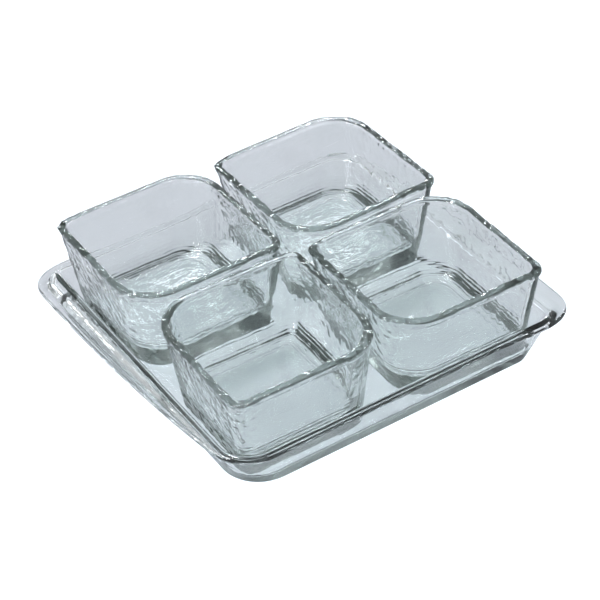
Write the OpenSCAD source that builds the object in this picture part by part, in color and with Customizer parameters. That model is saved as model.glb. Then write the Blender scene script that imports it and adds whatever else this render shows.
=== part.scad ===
// Appetizer dish in clear pressed glass: a square tray with two side handles,
// and four loose square bowls that stand in its well and lift straight out.
// Tray and bowls share one outline: two opposite corners are large, two are tight.
// Origin: middle of the tray's underside. +Z is up, +X runs from handle to handle.

/* [Bowl] */
// Width of a bowl across its rim
bowl_w = 112; // [104:1:124]
// Height of a bowl
bowl_h = 66; // [54:1:78]
// Slope of a bowl's walls from upright, in degrees
bowl_slope = 7; // [4:0.5:9]
// Thickness of a bowl's wall, measured level
bowl_wall = 5.4; // [4.6:0.1:6.2]
// Thickness of a bowl's floor
bowl_floor = 11; // [9:0.5:13]
// Radius of the two large corners at a bowl's rim
bowl_large_r = 30; // [24:1:36]
// Radius of the two tight corners at a bowl's rim
bowl_tight_r = 9; // [8:0.5:13]
// Radius of the large corners on the flat of a bowl's foot
foot_large_r = 17; // [13:1:20]
// Radius of the tight corners on the flat of a bowl's foot
foot_tight_r = 7; // [6:0.5:9]
// Radius of the turn from foot to wall, outside
foot_edge_r = 5; // [4:0.5:7]
// Radius of the large corners on the flat of a bowl's floor, inside
floor_large_r = 13; // [10:1:18]
// Radius of the tight corners on the flat of a bowl's floor, inside
floor_tight_r = 5; // [3:0.5:7]
// Radius of the turn from floor to wall, inside
floor_edge_r = 12; // [9:0.5:14]

/* [Bowl rim bead] */
// Height of the bead round a bowl's rim
bead_h = 6.5; // [5:0.5:9]
// How far the bead stands out from the wall below it
bead_out = 1.5; // [0.8:0.1:2.2]
// Height over which the wall swells out into the bead
bead_lead = 4; // [3:0.1:4.2]
// Radius of the two edges of a bowl's flat rim
rim_edge_r = 1.2; // [0.8:0.1:1.6]
// How much tighter the opening's corners are than the rim's outside
bead_corner_step = 3; // [2:0.5:5]

/* [Places of the bowls] */
// Gap between the rims of neighbouring bowls
bowl_gap = 5; // [4:0.5:10]
// Most that a bowl stands off its even place, as set down by hand
bowl_stray = 1.5; // [0:0.1:1.5]
// Most that a bowl is turned as set down by hand, in degrees
bowl_turn = 1; // [0:0.1:1]
// Gap under each bowl's foot
seat_gap = 0.2; // [0.1:0.1:0.4]

/* [Tray] */
// Height of the tray
tray_h = 36; // [32:1:42]
// Thickness of the tray's floor
tray_floor = 8; // [5:0.5:10]
// Slope of the tray's walls from upright, in degrees
tray_slope = 18; // [15:0.5:21]
// Thickness of the tray's wall, measured level
tray_wall = 3.7; // [3:0.1:5]
// Gap between a bowl's wall and the well's wall at the floor
well_gap = 2.4; // [2.2:0.1:4]
// Radius of the well's two large corners
well_large_r = 21; // [16:0.5:23]
// Radius of the well's two tight corners
well_tight_r = 8; // [5.5:0.5:9]
// Radius of the turn from the well's floor to its wall
well_edge_r = 5; // [3:0.5:6]
// Radius of the tray's lower outside edge
base_edge_r = 2; // [1:0.5:3]
// Radius of the two large corners on the tray's underside
base_large_r = 28; // [24:0.5:29]

/* [Tray rim and handles] */
// Height of the rounded lip above the handles
lip_rise = 1.2; // [0.8:0.1:1.8]
// Width of the flat ledge between the rim's rounded edge and the lip
lip_ledge = 0.4; // [0.3:0.1:0.6]
// How far the rim stands out from the wall below it
rim_out = 2.2; // [1.8:0.1:3.5]
// Thickness of the handles and of the rim
handle_t = 4; // [3.4:0.1:5]
// Radius of the upper and lower edges of the handles and of the rim
handle_edge_r = 1.4; // [1:0.1:1.6]
// Width of a handle beyond the rim
handle_w = 14.7; // [11.7:0.1:19.7]
// Length of the rounded corner of a handle's wide end, along the handle
handle_end_l = 24; // [20:1:30]
// Width of the same corner, across the handle
handle_end_w = 32; // [24:1:36]
// How square the same corner is: 2 is round
handle_end_power = 2.6; // [2.2:0.1:3.2]
// How far a handle's wide end stands past the rim's straight side
handle_over = 1.6; // [0:0.1:4]
// Share of a handle's width that is left where the large corner begins
handle_left_share = 0.15; // [0:0.01:0.3]
// How late a handle narrows: 1 is a straight taper
handle_late_power = 2.2; // [1.6:0.1:3]
// Length of the turn that leads the rim's side into a handle's end
handle_lead = 32; // [20:1:45]

/* [Hidden] */

glass = [0.80, 0.86, 0.87, 0.6];

// Steps round a tight corner, a large corner and a rounded edge
TIGHT_STEPS = 7;
LARGE_STEPS = 12;
EDGE_STEPS = 5;
// Steps along the tray's sides with a handle and without one
HANDLE_STEPS = 16;
PLAIN_STEPS = 9;

// Bowl: half widths of its wall, from outside and inside, at height z
bowl_half = bowl_w / 2;
function bowl_out(z) = bowl_half - bead_out - (bowl_h - bead_h - z) * tan(bowl_slope);
function bowl_in(z) = bowl_out(z) - bowl_wall;
opening_half = bowl_in(bowl_h);
foot_half = bowl_out(foot_edge_r) - foot_edge_r / cos(bowl_slope);
floor_half = bowl_in(bowl_floor + floor_edge_r) - floor_edge_r / cos(bowl_slope);

// Places: which way each bowl stands from the middle, its turn, and its stray as shares
bowl_pitch = bowl_w + bowl_gap;
bowl_sides = [[-1, -1], [-1, 1], [1, 1], [1, -1]];
quarter_turns = [1, 0, 0, 0];
stray_shares = [[1, 0.9], [-0.33, 1], [0.77, -0.9], [0.77, -0.7]];
turn_shares = [-0.9, 0.2, 0.9, -0.7];

// Tray: half widths of its wall, from inside and outside, at height z
well_half = bowl_pitch / 2 + bowl_out(0) + well_gap;
function well_in(z) = well_half + (z - tray_floor) * tan(tray_slope);
function tray_out(z) = well_in(z) + tray_wall;
handle_top = tray_h - lip_rise;
handle_low = handle_top - handle_t;
rim_half = tray_out(handle_low) + rim_out;
rim_large_r = well_large_r + tray_wall + rim_out;
rim_tight_r = well_tight_r + tray_wall;
lip_half_w = (rim_half - handle_edge_r - lip_ledge - well_in(handle_top)) / 2;
base_half = tray_out(base_edge_r) - base_edge_r / cos(tray_slope);
well_floor_half = well_in(tray_floor + well_edge_r) - well_edge_r / cos(tray_slope);

function mix(a, b, t) = a + (b - a) * t;
function smooth(u) = u <= 0 ? 0 : u >= 1 ? 1 : u * u * (3 - 2 * u);

// An arc of points about c, from angle a0 to angle a1
function arc(c, r, a0, a1, steps) =
    [for (i = [0 : steps]) c + r * [cos(mix(a0, a1, i / steps)), sin(mix(a0, a1, i / steps))]];

// One half of a shape that repeats on a half turn, made whole
function both_halves(half) = concat(half, [for (p = half) -p]);

// Outline of a bowl: tight corner at +X -Y, large corner at +X +Y, and the same opposite
function leaf(half, tight_r, large_r) = both_halves(concat(
    arc([half - tight_r, tight_r - half], tight_r, -90, 0, TIGHT_STEPS),
    arc([half - large_r, half - large_r], large_r, 0, 90, LARGE_STEPS)));

// Closed skin over a stack of rings, each [z, outline], from the underside up and back inside
module skin(rings) {
    n = len(rings[0][1]);
    last = len(rings) - 1;
    points = concat([for (ring = rings) for (p = ring[1]) [p.x, p.y, ring[0]]],
        [[0, 0, rings[0][0]], [0, 0, rings[last][0]]]);
    middle = (last + 1) * n;
    sides = [for (k = [0 : last - 1]) for (i = [0 : n - 1]) let (j = (i + 1) % n)
        each [[k * n + i, (k + 1) * n + i, (k + 1) * n + j], [k * n + i, (k + 1) * n + j, k * n + j]]];
    under = [for (i = [0 : n - 1]) [middle, i, (i + 1) % n]];
    inside = [for (i = [0 : n - 1]) [middle + 1, last * n + (i + 1) % n, last * n + i]];
    polyhedron(points = points, faces = concat(under, sides, inside));
}

// Section of a bowl's glass as [half width, height]: foot and wall, then bead and rim, then inside
bowl_outside = arc([foot_half, foot_edge_r], foot_edge_r, -90, -bowl_slope, EDGE_STEPS);
bowl_swell = [for (i = [0 : EDGE_STEPS - 1]) let (u = i / (EDGE_STEPS - 1))
    [bowl_half - bead_out * (1 - smooth(u)), bowl_h - bead_h + bead_lead * u]];
bowl_rim = concat(
    arc([bowl_half - rim_edge_r, bowl_h - rim_edge_r], rim_edge_r, 0, 90, 3),
    arc([opening_half + rim_edge_r, bowl_h - rim_edge_r], rim_edge_r, 90, 180, 3));
bowl_inside = arc([floor_half, bowl_floor + floor_edge_r], floor_edge_r, -bowl_slope, -90, EDGE_STEPS);

// Corner radii shrink with the half width, from rim to foot and from opening to floor
function outer_share(x) = (x - foot_half) / (bowl_half - foot_half);
function inner_share(x) = (x - floor_half) / (opening_half - floor_half);
function bowl_outer_ring(p) = [p.y, leaf(p.x,
    mix(foot_tight_r, bowl_tight_r, outer_share(p.x)),
    mix(foot_large_r, bowl_large_r, outer_share(p.x)))];
function bowl_inner_ring(p) = [p.y, leaf(p.x,
    mix(floor_tight_r, bowl_tight_r - bead_corner_step, inner_share(p.x)),
    mix(floor_large_r, bowl_large_r - bead_corner_step, inner_share(p.x)))];

// Across the rim the corners step from the outside's radii to the opening's
function rim_share(x) = (bowl_half - x) / (bowl_half - opening_half);
function bowl_rim_ring(p) = [p.y, leaf(p.x,
    bowl_tight_r - bead_corner_step * rim_share(p.x),
    bowl_large_r - bead_corner_step * rim_share(p.x))];

module bowl() {
    skin(concat(
        [for (p = concat(bowl_outside, bowl_swell)) bowl_outer_ring(p)],
        [for (p = bowl_rim) bowl_rim_ring(p)],
        [for (p = bowl_inside) bowl_inner_ring(p)]));
}

module placed_bowl(i) {
    side = bowl_sides[i];
    at = side * bowl_pitch / 2 + stray_shares[i] * bowl_stray;
    color(glass)
        translate([at.x, at.y, tray_floor + seat_gap])
            rotate([0, 0, quarter_turns[i] * 90 + turn_shares[i] * bowl_turn])
                bowl();
}

// Spacing along a plain side: closer towards the handle's wide end
function towards_end(t) = 1 - (1 - t) * (1 - t);

// How wide a handle still is, as a share, at a share u of its side
function narrowing(u) = 1 - (1 - handle_left_share) * pow(u, handle_late_power);

// Outline of the well or of the tray's wall, with points to match the rim's
function wall_outline(half, tight_r, large_r) = both_halves(concat(
    arc([half - tight_r, tight_r - half], tight_r, -90, 0, TIGHT_STEPS),
    [for (i = [1 : HANDLE_STEPS - 1])
        [half, mix(tight_r - half, half - large_r, i / HANDLE_STEPS)]],
    arc([half - large_r, half - large_r], large_r, 0, 90, LARGE_STEPS),
    [for (i = [1 : PLAIN_STEPS - 1])
        [mix(half - large_r, tight_r - half, towards_end(i / PLAIN_STEPS)), half]]));

// Outline of the rim with its handles, drawn in by inset. A handle is widest at the tight
// corner, narrows along the side, slowly at first, and fades out round the large corner.
end_x = rim_half + handle_w - handle_end_w;
end_y = rim_half + handle_over - handle_end_l;
side_end = rim_half - rim_large_r;
function handle_end(a, inset) = let (
    tip = [pow(cos(a), 2 / handle_end_power), pow(sin(a), 2 / handle_end_power)],
    lean = [pow(tip.x, handle_end_power - 1) / handle_end_w, pow(tip.y, handle_end_power - 1) / handle_end_l],
    drawn_in = inset * lean / norm(lean))
    [end_x + handle_end_w * tip.x - drawn_in.x, drawn_in.y - end_y - handle_end_l * tip.y];
function rim_outline(inset) = both_halves(concat(
    [for (i = [0 : TIGHT_STEPS]) handle_end(90 * (1 - i / TIGHT_STEPS), inset)],
    [for (i = [1 : HANDLE_STEPS - 1]) let (u = i / HANDLE_STEPS)
        [rim_half - inset + handle_w * narrowing(u), mix(-end_y, side_end, u)]],
    [for (i = [0 : LARGE_STEPS]) let (u = i / LARGE_STEPS)
        [side_end, side_end] + (rim_large_r - inset + handle_w * handle_left_share * (1 - u) * (1 - u))
        * [cos(90 * u), sin(90 * u)]],
    [for (i = [1 : PLAIN_STEPS - 1]) let (x = mix(side_end, -end_x, towards_end(i / PLAIN_STEPS)))
        [x, rim_half - inset + handle_over * smooth((handle_lead - end_x - x) / handle_lead)]]));

function wall_share(x) = (x - base_half) / (tray_out(handle_low) - base_half);
function base_ring(p) = [p.y, wall_outline(p.x, rim_tight_r,
    mix(base_large_r, well_large_r + tray_wall, wall_share(p.x)))];
function well_ring(p) = [p.y, wall_outline(p.x, well_tight_r, well_large_r)];

module tray() {
    base = arc([base_half, base_edge_r], base_edge_r, -90, -tray_slope, 3);
    edge = concat(
        arc([0, handle_low + handle_edge_r], handle_edge_r, -90, 0, 3),
        arc([0, handle_top - handle_edge_r], handle_edge_r, 0, 90, 3));
    lip = [for (p = arc([0, 0], 1, 0, 180, EDGE_STEPS + 1))
        [well_in(handle_top) + lip_half_w * (1 + p.x), handle_top + lip_rise * p.y]];
    turn = arc([well_floor_half, tray_floor + well_edge_r], well_edge_r, -tray_slope, -90, EDGE_STEPS);
    color(glass) skin(concat(
        [for (p = base) base_ring(p)],
        [base_ring([tray_out(handle_low), handle_low])],
        [for (p = edge) [p.y, rim_outline(handle_edge_r - p.x)]],
        [for (p = lip) well_ring(p)],
        [for (p = turn) well_ring(p)]));
}

tray();
placed_bowl(0);  // bowl_front
placed_bowl(1);  // bowl_left
placed_bowl(2);  // bowl_back
placed_bowl(3);  // bowl_right
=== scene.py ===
import math

import bpy
import numpy as np
from mathutils import Matrix, Vector


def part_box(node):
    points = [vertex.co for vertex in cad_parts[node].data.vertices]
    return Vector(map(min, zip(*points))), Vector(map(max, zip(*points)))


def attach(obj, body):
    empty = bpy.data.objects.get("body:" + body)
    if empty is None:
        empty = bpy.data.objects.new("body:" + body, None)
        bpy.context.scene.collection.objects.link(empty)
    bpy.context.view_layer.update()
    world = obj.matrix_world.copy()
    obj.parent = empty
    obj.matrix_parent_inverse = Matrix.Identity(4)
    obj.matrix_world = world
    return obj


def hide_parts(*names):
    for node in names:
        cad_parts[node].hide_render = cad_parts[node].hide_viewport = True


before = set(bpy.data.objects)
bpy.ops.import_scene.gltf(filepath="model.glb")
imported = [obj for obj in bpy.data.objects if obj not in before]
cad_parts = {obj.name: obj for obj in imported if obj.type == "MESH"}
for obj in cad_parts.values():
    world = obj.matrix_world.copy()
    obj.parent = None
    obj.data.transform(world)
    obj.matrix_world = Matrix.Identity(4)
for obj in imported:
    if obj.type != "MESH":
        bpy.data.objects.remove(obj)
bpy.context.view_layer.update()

MM = 0.001


# The studio: a pale sweep under the dish, a surround that darkens overhead, two soft boxes and
# five narrow strips of light. The darker overhead draws the dark lines along the edges of clear
# glass, and the strips leave small bright glints on its ripples.
class Wire:
    """A node's output in a shader. Sums and products of wires add Math nodes."""

    def __init__(self, socket):
        self.socket = socket

    def node(self, kind, settings, sockets, output=0):
        """Adds a node of a kind to this wire's tree: its settings first, then its sockets' values or
        wires. Comes back with the wire of one of its outputs."""
        tree = self.socket.id_data
        made = tree.nodes.new(kind)
        for name, value in settings.items():
            if name == "stops":
                ramp = made.color_ramp
                ramp.elements[0].position, ramp.elements[0].color = value[0]
                ramp.elements[1].position, ramp.elements[1].color = value[-1]
                for position, colour in value[1:-1]:
                    ramp.elements.new(position).color = colour
            else:
                setattr(made, name, value)
        for name, value in sockets.items():
            if isinstance(value, Wire):
                tree.links.new(value.socket, made.inputs[name])
            else:
                made.inputs[name].default_value = value
        return Wire(made.outputs[output])

    def maths(self, operation, first, second):
        """Adds a Math node of an operation on two wires or numbers."""
        return self.node("ShaderNodeMath", {"operation": operation}, {0: first, 1: second})

    def __add__(self, other):
        return self.maths("ADD", self, other)

    def __radd__(self, other):
        return self.maths("ADD", other, self)

    def __mul__(self, other):
        return self.maths("MULTIPLY", self, other)

    def __rmul__(self, other):
        return self.maths("MULTIPLY", other, self)

    def into(self, kind, socket):
        """Feeds this wire into the tree's output node of a kind."""
        tree = self.socket.id_data
        ends = [n for n in tree.nodes if n.bl_idname == kind]
        end = ends[0] if ends else tree.nodes.new(kind)
        tree.links.new(self.socket, end.inputs[socket])


def blank_material(name):
    """A material with an empty tree, and the wire of its object coordinates."""
    material = bpy.data.materials.new(name)
    material.use_nodes = True
    tree = material.node_tree
    tree.nodes.clear()
    return material, Wire(tree.nodes.new("ShaderNodeTexCoord").outputs["Object"])


def grey(level):
    """A grey of a level between 0 and 1, a little blue."""
    return (0.94 * level, 0.975 * level, level, 1)


bpy.context.scene.view_settings.view_transform = "Standard"
bpy.context.scene.cycles.max_bounces = 40
bpy.context.scene.cycles.transmission_bounces = 40
bpy.context.scene.cycles.glossy_bounces = 12
bpy.context.scene.cycles.transparent_max_bounces = 40

world = bpy.data.worlds.new("surround")
bpy.context.scene.world = world
world.use_nodes = True
world.node_tree.nodes.clear()
towards = Wire(world.node_tree.nodes.new("ShaderNodeTexCoord").outputs["Generated"])
height = towards.node("ShaderNodeSeparateXYZ", {}, {0: towards}, "Z")
surround = towards.node("ShaderNodeValToRGB",
    {"stops": [(0.0, grey(0.8)), (0.12, grey(0.7)), (0.4, grey(0.55)), (1.0, grey(0.45))]}, {0: height})
looked_at = towards.node("ShaderNodeLightPath", {}, {}, "Is Camera Ray")
sky = towards.node("ShaderNodeMix", {"data_type": "RGBA"},
    {"Factor": looked_at, "A": surround, "B": (1, 1, 1, 1)}, 2)
towards.node("ShaderNodeBackground", {}, {"Color": sky, "Strength": 1}).into("ShaderNodeOutputWorld", 0)

floor_size = 12.0
floor_z = -0.3 * MM
paper_dark = (0.375, 0.383, 0.409, 1)
paper_light = (0.4, 0.41, 0.437, 1)
mottle_scale = 3
glow_colour = (0.9, 0.96, 1, 1)
glow_seen = 0.85
glow_near = 0.03
glow_gain = 0.9
glow_from = 0.25
glow_full = 0.8
floor_mesh = bpy.data.meshes.new("floor")
half = floor_size / 2
corners = [(-half, -half), (half, -half), (half, half), (-half, half)]
floor_mesh.from_pydata([(x, y, floor_z) for x, y in corners], [], [(0, 1, 2, 3)])
floor = bpy.data.objects.new("floor", floor_mesh)
bpy.context.scene.collection.objects.link(floor)
floor_material, spot = blank_material("floor")
seen = spot.node("ShaderNodeLightPath", {}, {}, "Is Camera Ray")
through = spot.node("ShaderNodeLightPath", {}, {}, "Is Transmission Ray")
mirrored = spot.node("ShaderNodeLightPath", {}, {}, "Is Glossy Ray")
mottle = spot.node("ShaderNodeTexNoise", {}, {"Vector": spot, "Scale": mottle_scale, "Detail": 2})
paper = spot.node("ShaderNodeMix", {"data_type": "RGBA"},
    {"Factor": mottle, "A": paper_dark, "B": paper_light}, 2)
matt = spot.node("ShaderNodeBsdfDiffuse", {}, {"Color": paper})
away = spot.node("ShaderNodeVectorMath", {"operation": "LENGTH"}, {0: spot}, 1)
far = spot.node("ShaderNodeMapRange", {}, {"Value": away, "From Min": glow_from, "From Max": glow_full})
glow_strength = seen * glow_seen + (through + mirrored) * (glow_near + far * glow_gain)
glow = spot.node("ShaderNodeEmission", {}, {"Color": glow_colour, "Strength": glow_strength})
spot.node("ShaderNodeAddShader", {}, {0: matt, 1: glow}).into("ShaderNodeOutputMaterial", "Surface")
floor_mesh.materials.append(floor_material)

lamp_colour = (0.94, 0.97, 1)


def soft_box(name, place, width, depth, power):
    """A rectangular lamp at a place, turned to face the dish."""
    lamp = bpy.data.lights.new(name, "AREA")
    lamp.shape = "RECTANGLE"
    lamp.size = width
    lamp.size_y = depth
    lamp.energy = power
    lamp.color = lamp_colour
    box = bpy.data.objects.new(name, lamp)
    box.location = place
    box.rotation_euler = (-Vector(place)).to_track_quat("-Z", "Y").to_euler()
    bpy.context.scene.collection.objects.link(box)


soft_box("soft_box_top", (-0.3, 0.5, 1.7), 0.4, 0.4, 14)
soft_box("soft_box_left", (-1.6, 0.2, 1.0), 0.6, 1.0, 8)
soft_box("strip_back", (0.62, 1.18, 1.0), 0.5, 0.02, 1.4)
soft_box("strip_low", (0.7, 1.3, 0.4), 0.6, 0.05, 6)
soft_box("strip_high", (0.25, 0.5, 1.5), 0.5, 0.04, 5)
soft_box("strip_right", (1.3, -0.2, 0.9), 0.08, 1.0, 8)
soft_box("strip_left", (-1.3, -0.3, 0.7), 0.04, 1.0, 6)

eye = Vector((-0.5385, -0.9245, 0.8957))
aim = Vector((-0.0001, -0.0029, 0.0307))
roll = math.radians(-3.93)
camera = bpy.data.cameras.new("camera")
camera.sensor_width = 36
camera.lens = 126.3
camera_object = bpy.data.objects.new("camera", camera)
camera_object.matrix_world = (Matrix.Translation(eye)
    @ ((aim - eye).to_track_quat("-Z", "Y").to_matrix() @ Matrix.Rotation(roll, 3, "Z")).to_4x4())
bpy.context.scene.collection.objects.link(camera_object)
bpy.context.scene.camera = camera_object


# The bowls: one pressed glass shape, set down four times. Two opposite corners are large and
# two are tight, a bead runs round the rim, and the floor is thick. The walls keep the faint
# waves that hot glass takes on in a mould.
bowl_tint = (0.605, 0.655, 0.638, 1)
bowl_density = 26
shadow_tint = (0.85, 0.87, 0.865, 1)
glass_ior = 1.52
faint_tone = (0.985, 0.99, 0.992, 1)
most_haze = 0.03
broad_scale = 60
broad_ripple = 0.2
fine_scale = 300
fine_ripple = 0.04


def pressed_glass(name, tint, density):
    """Clear glass, a little grey-green through its depth, with broad and fine waves left by the mould.
    Lamps shine straight through it, a little dimmed, so that its shadow stays pale."""
    material, spot = blank_material(name)
    broad = spot.node("ShaderNodeTexNoise", {}, {"Vector": spot, "Scale": broad_scale, "Detail": 2})
    fine = spot.node("ShaderNodeTexNoise", {}, {"Vector": spot, "Scale": fine_scale, "Detail": 2})
    waves = spot.node("ShaderNodeBump", {}, {"Strength": 1, "Distance": MM,
        "Height": broad * broad_ripple + fine * fine_ripple})
    haze = spot.node("ShaderNodeMapRange", {}, {"Value": broad, "To Min": 0.0, "To Max": most_haze})
    tone = spot.node("ShaderNodeMix", {"data_type": "RGBA"},
        {"Factor": broad, "A": faint_tone, "B": (1, 1, 1, 1)}, 2)
    glass = spot.node("ShaderNodeBsdfPrincipled", {}, {"Base Color": tone, "Roughness": haze,
        "IOR": glass_ior, "Transmission Weight": 1, "Normal": waves})
    clear = spot.node("ShaderNodeBsdfTransparent", {}, {"Color": shadow_tint})
    lamps = spot.node("ShaderNodeLightPath", {}, {}, "Is Shadow Ray")
    spot.node("ShaderNodeMixShader", {}, {0: lamps, 1: glass, 2: clear}).into(
        "ShaderNodeOutputMaterial", "Surface")
    spot.node("ShaderNodeVolumeAbsorption", {}, {"Color": tint, "Density": density}).into(
        "ShaderNodeOutputMaterial", "Volume")
    return material


def arc(centre, radius, first, last, steps):
    """Points on a circle about a centre, from a first to a last angle in degrees."""
    turn = np.radians(np.linspace(first, last, steps + 1))
    return np.stack([centre[0] + radius * np.cos(turn), centre[1] + radius * np.sin(turn)], -1)


def leaf(half, tight, large, tight_steps=14, side_steps=60, large_steps=30, far=None):
    """Rings of a square of a half width, whose corners at +X -Y are tight and at +X +Y large, and
    again opposite: four quarter circles and the straights between. Sizes are columns, one row a
    ring. The points are even along a side, or at the shares far on the sides after a large corner."""
    half, tight, large = (np.asarray(size, float).reshape(-1, 1) for size in (half, tight, large))
    tight_turn = np.radians(np.linspace(-90, 0, tight_steps, endpoint=False))
    large_turn = np.radians(np.linspace(0, 90, large_steps, endpoint=False))
    near = np.linspace(0, 1, side_steps, endpoint=False)
    far = near if far is None else far
    low, high = tight - half, half - large
    x = np.hstack([half - tight + tight * np.cos(tight_turn), half + 0 * near,
        high + large * np.cos(large_turn), high + (low - high) * far])
    y = np.hstack([low + tight * np.sin(tight_turn), low + (high - low) * near,
        high + large * np.sin(large_turn), half + 0 * far])
    return np.stack([np.hstack([x, -x]), np.hstack([y, -y])], -1)


def lattice_noise(points, cell, seed):
    """Smooth noise from -1 to 1: random values on a cubic lattice, eased between its corners."""
    cells = 32
    values = np.random.default_rng(seed).uniform(-1, 1, (cells, cells, cells))
    q = points / cell + cells // 2
    base = np.floor(q).astype(int)
    f = q - base
    f = f * f * (3 - 2 * f)
    total = 0
    for corner in np.ndindex(2, 2, 2):
        weight = np.prod(np.where(np.array(corner), f, 1 - f), -1)
        picked = values[tuple(((base + corner) % cells).reshape(-1, 3).T)].reshape(weight.shape)
        total = total + weight * picked
    return total


def normals_of(grid):
    """Unit normals of a grid of rings, from the cross product of its two directions."""
    along = np.gradient(grid, axis=0)
    around = np.roll(grid, -1, 1) - np.roll(grid, 1, 1)
    cross = np.cross(around, along)
    return cross / np.maximum(np.linalg.norm(cross, axis=-1, keepdims=True), 1e-12)


def ring_mesh(name, grid, under, inside):
    """A closed mesh from a grid of rings: quads between the rings, and a fan on the first and the last,
    whose middles are the points under and inside."""
    rings, points = grid.shape[:2]
    first = np.arange(rings * points).reshape(rings, points)
    after = np.roll(first, -1, 1)
    quads = np.stack([first[:-1], after[:-1], after[1:], first[1:]], -1).reshape(-1, 4)
    middle = rings * points
    fans = [np.stack([np.full(points, middle), after[0], first[0]], -1),
        np.stack([np.full(points, middle + 1), first[-1], after[-1]], -1)]
    triangles = np.vstack(fans)
    vertices = np.vstack([grid.reshape(-1, 3), [under, inside]])
    loops = np.concatenate([quads.ravel(), triangles.ravel()]).astype(np.int32)
    starts = np.concatenate([np.arange(len(quads)) * 4, len(quads) * 4 + np.arange(len(triangles)) * 3])
    mesh = bpy.data.meshes.new(name)
    mesh.vertices.add(len(vertices))
    mesh.vertices.foreach_set("co", vertices.astype(np.float32).ravel())
    mesh.loops.add(len(loops))
    mesh.loops.foreach_set("vertex_index", loops)
    mesh.polygons.add(len(starts))
    mesh.polygons.foreach_set("loop_start", starts.astype(np.int32))
    mesh.polygons.foreach_set("use_smooth", np.ones(len(starts), bool))
    mesh.update(calc_edges=True)
    mesh.validate()
    piece = bpy.data.objects.new(name, mesh)
    bpy.context.scene.collection.objects.link(piece)
    return piece


bowl_w = 112 * MM
bowl_h = 66 * MM
bowl_wall = 5.4 * MM
bowl_floor = 11 * MM
bowl_slope = math.radians(7)
bowl_large_r = 30 * MM
bowl_tight_r = 9 * MM
foot_large_r = 17 * MM
foot_tight_r = 7 * MM
foot_edge_r = 5 * MM
floor_large_r = 13 * MM
floor_tight_r = 5 * MM
floor_edge_r = 12 * MM
bead_h = 6.5 * MM
bead_out = 1.5 * MM
bead_lead = 4 * MM
rim_edge_r = 1.2 * MM
rim_crown = 0.2 * MM
bead_corner_step = 3 * MM
pole_share = 0.02

# How many steps each stretch of the section takes.
under_steps = 20
foot_arc_steps = 20
outer_wall_steps = 40
bead_points = 12
rim_arc_steps = 8
rim_top_steps = 12
inner_wall_steps = 44
floor_arc_steps = 40
floor_steps = 20

# The waves: loose noise of two cell sizes, level ridges round the foot and the floor's edge, and
# how strongly each part of a bowl is rippled, as shares of wave_deep.
wave_deep = 0.5 * MM
wave_cell = 2.6 * MM
wave_share = 0.35
drift_cell = 8 * MM
drift_share = 0.15
ridge_deep = 0.16 * MM
ridge_pitch = 2.6 * MM
ridge_bend = 1.5
ridge_from = 29 * MM
ridge_foot_h = 8 * MM
ridge_floor_h = 22 * MM
ridge_fade = 6 * MM
underside_ease = 2 * MM
calm_to = 26 * MM
calm_ease = 4 * MM
calm_share = 0.8
side_from = 34 * MM
side_ease = 14 * MM
plain_wave_share = 0.3
foot_wave_share = 0.6
left_wave_share = 1.7
right_wave_share = 0.4
rim_wave_share = 0.6
rim_left_share = 1.0
rim_right_share = 1.6

bowl_half = bowl_w / 2


def bowl_out(z):
    """Half the bowl's outer width at a height z: the bead foot's, less the fall times tan slope."""
    return bowl_half - bead_out - (bowl_h - bead_h - z) * math.tan(bowl_slope)


def bowl_in(z):
    """Half the bowl's inner width at a height z: the outer one less the wall."""
    return bowl_out(z) - bowl_wall


opening_half = bowl_in(bowl_h)
foot_half = bowl_out(foot_edge_r) - foot_edge_r / math.cos(bowl_slope)
floor_half = bowl_in(bowl_floor + floor_edge_r) - floor_edge_r / math.cos(bowl_slope)


def joined(parts, gap_steps):
    """One line of points through the parts of a section, with even steps across the gaps between them."""
    line = [parts[0]]
    for part, steps in zip(parts[1:], gap_steps):
        share = np.linspace(0, 1, steps + 1)[1:-1, None]
        line.append(line[-1][-1] * (1 - share) + part[0] * share)
        line.append(part)
    return np.vstack(line)


def smooth(u):
    """Eases from 0 to 1 as u does: 3 u^2 - 2 u^3."""
    u = np.clip(u, 0, 1)
    return u * u * (3 - 2 * u)


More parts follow.
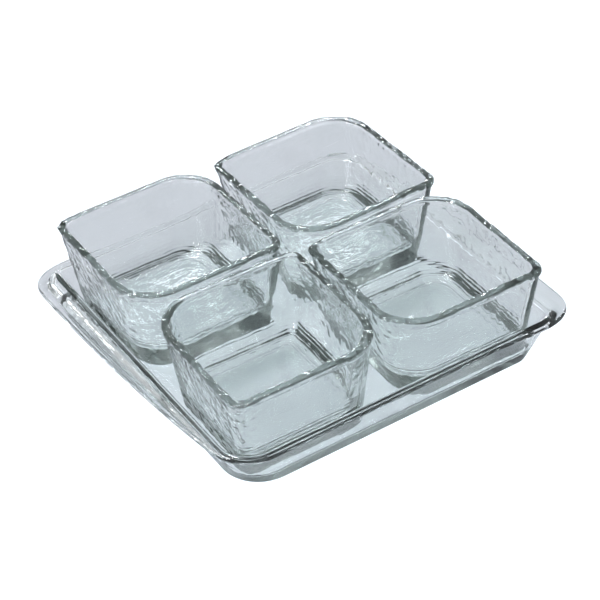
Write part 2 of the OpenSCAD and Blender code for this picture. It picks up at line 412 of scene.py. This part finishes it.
def bowl_grid():
    """A bowl's surface: its section carried round the leaf outline, whose corners ease from foot to rim.
    Comes with a column that is 1 for the rings inside and 0 for the others."""
    slope = math.degrees(bowl_slope)
    u = np.linspace(0, 1, bead_points)
    swell = np.stack([bowl_half - bead_out * (1 - smooth(u)), bowl_h - bead_h + bead_lead * u], -1)
    foot_arc = arc((foot_half, foot_edge_r), foot_edge_r, -90, -slope, foot_arc_steps)
    outside = joined([np.array([[foot_half * pole_share, 0.0]]), foot_arc, swell],
        [under_steps, outer_wall_steps])
    outer_edge = arc((bowl_half - rim_edge_r, bowl_h - rim_edge_r), rim_edge_r, 0, 90, rim_arc_steps)
    inner_edge = arc((opening_half + rim_edge_r, bowl_h - rim_edge_r), rim_edge_r, 90, 180, rim_arc_steps)
    top = joined([outer_edge, inner_edge], [rim_top_steps])
    floor_arc = arc((floor_half, bowl_floor + floor_edge_r), floor_edge_r, -slope, -90, floor_arc_steps)
    inside = joined([top[-1:], floor_arc, np.array([[floor_half * pole_share, bowl_floor]])],
        [inner_wall_steps, floor_steps])[1:]
    share_out = np.clip((outside[:, 0] - foot_half) / (bowl_half - foot_half), 0, 1)
    share_top = (bowl_half - top[:, 0]) / (bowl_half - opening_half)
    top[:, 1] -= rim_crown * (2 * share_top - 1) ** 2
    share_in = np.clip((inside[:, 0] - floor_half) / (opening_half - floor_half), 0, 1)
    tight_in, large_in = bowl_tight_r - bead_corner_step, bowl_large_r - bead_corner_step
    tight = np.concatenate([foot_tight_r + (bowl_tight_r - foot_tight_r) * share_out,
        bowl_tight_r - bead_corner_step * share_top,
        floor_tight_r + (tight_in - floor_tight_r) * share_in])
    large = np.concatenate([foot_large_r + (bowl_large_r - foot_large_r) * share_out,
        bowl_large_r - bead_corner_step * share_top,
        floor_large_r + (large_in - floor_large_r) * share_in])
    section = np.vstack([outside, top, inside])
    flat_half = np.where(np.arange(len(section)) < len(outside), foot_half, floor_half)
    shrink = np.minimum(section[:, 0] / flat_half, 1)
    rings = leaf(section[:, 0], tight * shrink, large * shrink)
    heights = np.repeat(section[:, 1][:, None], rings.shape[1], 1)
    within = (np.arange(len(section)) >= len(section) - len(inside)) * 1.0
    return np.dstack([rings, heights]), within[:, None]


def waved(grid, deep, ridged, seed):
    """The grid sunk along its normals by mould waves, which leave the underside flat: loose noise of a
    depth, and by a share level ridges sin(2 pi s / pitch) of the run s along the section."""
    height = grid[..., 2]
    run = np.cumsum(np.linalg.norm(np.diff(grid[:, :1], axis=0, prepend=grid[:1, :1]), axis=-1), axis=0)
    drift = lattice_noise(grid, drift_cell, seed)
    wave = drift * drift_share + lattice_noise(grid, wave_cell, seed + 1) * wave_share
    ridge = np.sin(2 * np.pi * run / ridge_pitch + ridge_bend * drift)
    sunk = (0.5 + wave) * deep + (1 + ridge) * ridge_deep * ridged
    return grid - normals_of(grid) * (sunk * smooth(height / underside_ease))[..., None]


bowl_names = ["bowl_front", "bowl_left", "bowl_back", "bowl_right"]
bowl_seeds = [0, 7, 14, 21]
quarter_turns = [1, 0, 0, 0]
degrees_off_square = [-0.9, 0.2, 0.9, -0.7]
bowl_glass = pressed_glass("bowl_glass", bowl_tint, bowl_density)
shape, within = bowl_grid()
reach, level = np.abs(shape[..., :2]).max(-1), shape[..., 2]
ridge_top = np.where(within, ridge_floor_h, ridge_foot_h)
foot = smooth((reach - ridge_from) / calm_ease) * (1 - smooth((level - ridge_top) / ridge_fade))
rim = smooth((level - bowl_h + bead_h) / bead_h)
calm = 1 - calm_share * within * (1 - smooth((reach - calm_to) / calm_ease))
for i, name in enumerate(bowl_names):
    low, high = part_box(name)
    across = -shape[..., 1] if quarter_turns[i] else shape[..., 0]
    left, right = smooth((-across - side_from) / side_ease), smooth((across - side_from) / side_ease)
    sides = left_wave_share * left + right_wave_share * right
    rims = (rim_wave_share + rim_left_share * left + rim_right_share * right) * rim
    share = plain_wave_share * calm + sides + rims + foot_wave_share * foot
    grid = waved(shape, wave_deep * share, foot, bowl_seeds[i])
    turned = math.radians(90 * quarter_turns[i] + degrees_off_square[i])
    spin = Matrix.Rotation(turned, 4, "Z")
    piece = ring_mesh("glass_" + name, grid, (0, 0, 0), (0, 0, bowl_floor))
    piece.data.transform(Matrix.Translation(((low.x + high.x) / 2, (low.y + high.y) / 2, low.z)) @ spin)
    piece.data.materials.append(bowl_glass)
    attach(piece, name)
    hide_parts(name)


# The tray: one pressed glass piece with a thick flat floor, sloped walls, a low rounded lip,
# and a flat handle on two opposite sides that swells at the tight corner.
tray_h = 36 * MM
tray_floor = 8 * MM
tray_slope = math.radians(18)
tray_wall = 3.7 * MM
well_half = 108.09 * MM
well_large_r = 21 * MM
well_tight_r = 8 * MM
well_edge_r = 5 * MM
base_edge_r = 2 * MM
base_large_r = 28 * MM
lip_rise = 1.2 * MM
lip_ledge = 0.4 * MM
rim_out = 2.2 * MM
handle_t = 4 * MM
handle_edge_r = 1.4 * MM
handle_w = 14.7 * MM
handle_end_l = 24 * MM
handle_end_w = 32 * MM
handle_end_power = 2.6
handle_left_share = 0.15
handle_late_power = 2.2
handle_over = 1.6 * MM
handle_lead = 32 * MM
tray_wave_deep = 0.2 * MM
tray_wave_seed = 91
tray_tint = (0.61, 0.66, 0.645, 1)
tray_density = 14


def well_in(z):
    """Half the well's width at a height z: the floor's, plus the rise times tan slope."""
    return well_half + (z - tray_floor) * math.tan(tray_slope)


def tray_out(z):
    """Half the tray's outer width at a height z: the well's plus the wall."""
    return well_in(z) + tray_wall


handle_top = tray_h - lip_rise
handle_low = handle_top - handle_t
rim_half = tray_out(handle_low) + rim_out
rim_large_r = well_large_r + tray_wall + rim_out
rim_tight_r = well_tight_r + tray_wall
lip_half_w = (rim_half - handle_edge_r - lip_ledge - well_in(handle_top)) / 2
base_half = tray_out(base_edge_r) - base_edge_r / math.cos(tray_slope)
well_floor_half = well_in(tray_floor + well_edge_r) - well_edge_r / math.cos(tray_slope)
end_x = rim_half + handle_w - handle_end_w
end_y = rim_half + handle_over - handle_end_l
side_end = rim_half - rim_large_r

# How many steps each stretch round the rim and along the section takes.
tight_steps = 16
handle_steps = 60
large_steps = 30
plain_steps = 40
plain_shares = 1 - (1 - np.linspace(0, 1, plain_steps, endpoint=False)) ** 2
base_arc_steps = 6
tray_wall_steps = 16
edge_arc_steps = 8
edge_side_steps = 2
lip_steps = 14
well_wall_steps = 14
well_arc_steps = 8
flat_points = 20


def narrowing(u):
    """How wide a handle still is, as a share, at a share u of its side: 1 - (1 - left) u^late."""
    return 1 - (1 - handle_left_share) * u ** handle_late_power


def rim_rings(inset):
    """Rings of the rim with its handles, drawn in by an inset: the handle's end is a quarter of a
    superellipse, its side narrows into the large corner, and the plain side swells into the next end."""
    inset = np.asarray(inset, float).reshape(-1, 1)
    tight_turn = np.radians(np.linspace(-90, 0, tight_steps, endpoint=False))
    large_turn = np.radians(np.linspace(0, 90, large_steps, endpoint=False))
    down = np.linspace(0, 1, handle_steps, endpoint=False)
    y_side = -end_y + (side_end + end_y) * down + 0 * inset
    x_side = rim_half - inset + handle_w * narrowing(down)
    corner_r = rim_large_r - inset + handle_w * handle_left_share * (1 - large_turn / math.radians(90)) ** 2
    x_far = side_end - (side_end + end_x) * plain_shares + 0 * inset
    y_far = rim_half - inset + handle_over * smooth((handle_lead - end_x - x_far) / handle_lead)
    tip_x = np.cos(tight_turn) ** (2 / handle_end_power)
    tip_y = np.abs(np.sin(tight_turn)) ** (2 / handle_end_power)
    lean_x = tip_x ** (handle_end_power - 1) / handle_end_w
    lean_y = tip_y ** (handle_end_power - 1) / handle_end_l
    lean = np.hypot(lean_x, lean_y)
    x = np.hstack([end_x + handle_end_w * tip_x - inset * lean_x / lean, x_side,
        side_end + corner_r * np.cos(large_turn), x_far])
    y = np.hstack([-end_y - handle_end_l * tip_y + inset * lean_y / lean, y_side,
        side_end + corner_r * np.sin(large_turn), y_far])
    return np.stack([np.hstack([x, -x]), np.hstack([y, -y])], -1)


def wall_rings(half, tight, large):
    """Rings of the well or the wall: a leaf outline with as many points along each side as the rim has."""
    return leaf(half, tight, large, tight_steps, handle_steps, large_steps, plain_shares)


def with_heights(rings, heights):
    """Rings of points in a plane, each ring lifted to its own height."""
    return np.dstack([rings, np.repeat(np.asarray(heights)[:, None], rings.shape[1], 1)])


def tray_grid():
    """The tray's surface: underside and wall, then the rim's edge with its handles, then lip and well."""
    slope = math.degrees(tray_slope)
    base_edge = arc((base_half, base_edge_r), base_edge_r, -90, -slope, base_arc_steps)
    outside = joined([base_edge, np.array([[tray_out(handle_low), handle_low]])], [tray_wall_steps])
    low_edge = arc((0, handle_low + handle_edge_r), handle_edge_r, -90, 0, edge_arc_steps)
    high_edge = arc((0, handle_top - handle_edge_r), handle_edge_r, 0, 90, edge_arc_steps)
    edge = joined([low_edge, high_edge], [edge_side_steps])
    lip_middle = [well_in(handle_top) + lip_half_w, handle_top]
    lip = arc((0, 0), 1, 0, 180, lip_steps) * [lip_half_w, lip_rise] + lip_middle
    well_edge = arc((well_floor_half, tray_floor + well_edge_r), well_edge_r, -slope, -90, well_arc_steps)
    inside = joined([lip, well_edge], [well_wall_steps])
    share_up = (outside[:, :1] - base_half) / (tray_out(handle_low) - base_half)
    outside_large = base_large_r + (well_large_r + tray_wall - base_large_r) * share_up
    outward = np.linspace(0, 1, flat_points)[1:-1, None]
    inward = outward[::-1]
    base = wall_rings(base_half * outward, rim_tight_r * outward, base_large_r * outward)
    well = wall_rings(well_floor_half * inward, well_tight_r * inward, well_large_r * inward)
    return np.vstack([
        with_heights(base, 0 * outward.ravel()),
        with_heights(wall_rings(outside[:, 0], rim_tight_r, outside_large), outside[:, 1]),
        with_heights(rim_rings(handle_edge_r - edge[:, 0]), edge[:, 1]),
        with_heights(wall_rings(inside[:, 0], well_tight_r, well_large_r), inside[:, 1]),
        with_heights(well, tray_floor + 0 * inward.ravel())])


tray_glass = pressed_glass("tray_glass", tray_tint, tray_density)
grid = waved(tray_grid(), tray_wave_deep, 0, tray_wave_seed)
tray = ring_mesh("glass_tray", grid, (0, 0, 0), (0, 0, tray_floor))
tray.data.materials.append(tray_glass)
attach(tray, "tray")
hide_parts("tray")
